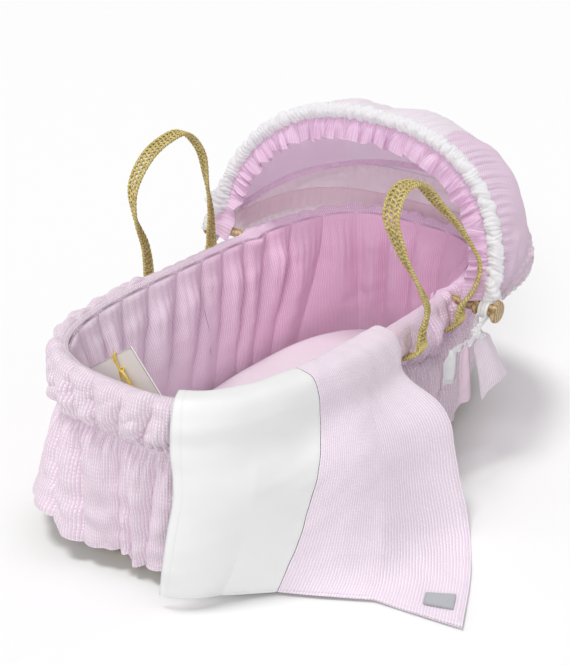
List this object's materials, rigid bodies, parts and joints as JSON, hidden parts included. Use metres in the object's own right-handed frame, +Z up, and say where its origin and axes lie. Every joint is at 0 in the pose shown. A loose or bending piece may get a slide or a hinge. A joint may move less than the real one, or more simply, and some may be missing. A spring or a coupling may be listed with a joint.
{
  "type": "moses basket",
  "caption": "Woven oval carrying basket with folding strap handles, gathered fabric liner and skirt, mattress, coverlet and a folding hood on turned pegs.",
  "frame": {"origin": "centre of the flat underside of the woven base, on the surface the basket stands on", "axes": "+X towards the head (hood) end, +Y to the side away from the coverlet, +Z up"},
  "size_m": [0.8969, 0.7794, 0.5332],
  "materials": {
    "palm_straw": "woven dried palm leaf, matt, yellow-green to tan",
    "raffia": "twisted raffia, slight sheen",
    "turned_wood": "turned hardwood, oiled, satin",
    "steel": "zinc-plated steel, satin",
    "pink_seersucker": "puckered striped cotton seersucker, pale pink on white",
    "deep_pink_seersucker": "gathered striped cotton, mauve-pink in its folds",
    "white_cotton": "plain white cotton, soft sheen",
    "cream_wadding": "foam and wadding in a cream cover",
    "lilac_sheet": "smooth pale pink-lilac jersey",
    "blank_label": "woven satin tape, blank",
    "card": "uncoated white card"
  },
  "bodies": {
    "basket": {"base_edge_coil": "palm_straw", "base_woven_floor": "palm_straw", "bow_far_knot": "white_cotton", "bow_far_tail_mauve": "deep_pink_seersucker", "bow_far_tail_pink": "pink_seersucker", "bow_far_tail_white": "white_cotton", "bow_near_knot": "white_cotton", "bow_near_tail_mauve": "deep_pink_seersucker", "bow_near_tail_pink": "pink_seersucker", "bow_near_tail_white": "white_cotton", "coverlet_blank_label": "blank_label", "coverlet_pink_panel": "pink_seersucker", "coverlet_white_band": "white_cotton", "handle_far_foot_lashing": "raffia", "handle_far_foot_tab": "palm_straw", "handle_far_head_lashing": "raffia", "handle_far_head_tab": "palm_straw", "handle_near_foot_lashing": "raffia", "handle_near_foot_tab": "palm_straw", "handle_near_head_lashing": "raffia", "handle_near_head_tab": "palm_straw", "hood_back_canopy": "pink_seersucker", "hood_back_hoop": "steel", "liner_cuff": "pink_seersucker", "liner_elastic": "white_cotton", "liner_inside": "pink_seersucker", "liner_skirt": "pink_seersucker", "peg_far_bolt": "steel", "peg_far_turned_wood": "turned_wood", "peg_far_washer": "steel", "peg_near_bolt": "steel", "peg_near_turned_wood": "turned_wood", "peg_near_washer": "steel", "rim_wrapped_roll": "palm_straw", "wall_woven_palm": "palm_straw"},
    "hood_front": {"hood_front_hoop": "steel", "hood_front_binding": "white_cotton", "hood_frill": "deep_pink_seersucker", "hood_front_canopy": "white_cotton"},
    "hood_middle": {"hood_middle_hoop": "steel", "hood_middle_channel": "deep_pink_seersucker"},
    "handle_near": {"handle_near_strap": "palm_straw"},
    "handle_far": {"handle_far_strap": "palm_straw"},
    "mattress": {"mattress_core": "cream_wadding", "mattress_fitted_sheet": "lilac_sheet", "keepsake_card": "card", "keepsake_card_raffia_tie": "raffia"}
  },
  "joints": [
    {"name": "hood_fold", "type": "hinge", "parent": "basket", "child": "hood_front", "pos_m": [0.158, 0, 0.27745], "axis": [0, 1, 0], "range_deg": [0, 57], "deforming": ["hood_front_binding", "hood_frill", "hood_front_canopy", "hood_back_canopy", "hood_middle_channel"]},
    {"name": "hood_middle_fold", "type": "hinge", "parent": "basket", "child": "hood_middle", "pos_m": [0.158, 0, 0.27745], "axis": [0, 1, 0], "range_deg": [0, 14.25]},
    {"name": "handle_near_fold", "type": "hinge", "parent": "basket", "child": "handle_near", "pos_m": [0.066, -0.246, 0.266], "axis": [1, 0, 0], "range_deg": [-28, 28]},
    {"name": "handle_far_fold", "type": "hinge", "parent": "basket", "child": "handle_far", "pos_m": [0.022, 0.246, 0.266], "axis": [-1, 0, 0], "range_deg": [-40, 50]},
    {"name": "mattress_lift", "type": "slide", "parent": "basket", "child": "mattress", "axis": [0, 0, 1], "range_m": [0, 0.12]}
  ],
  "couplings": [
    {"joint": "hood_middle_fold", "follows": "hood_fold", "ratio": 0.25}
  ]
}
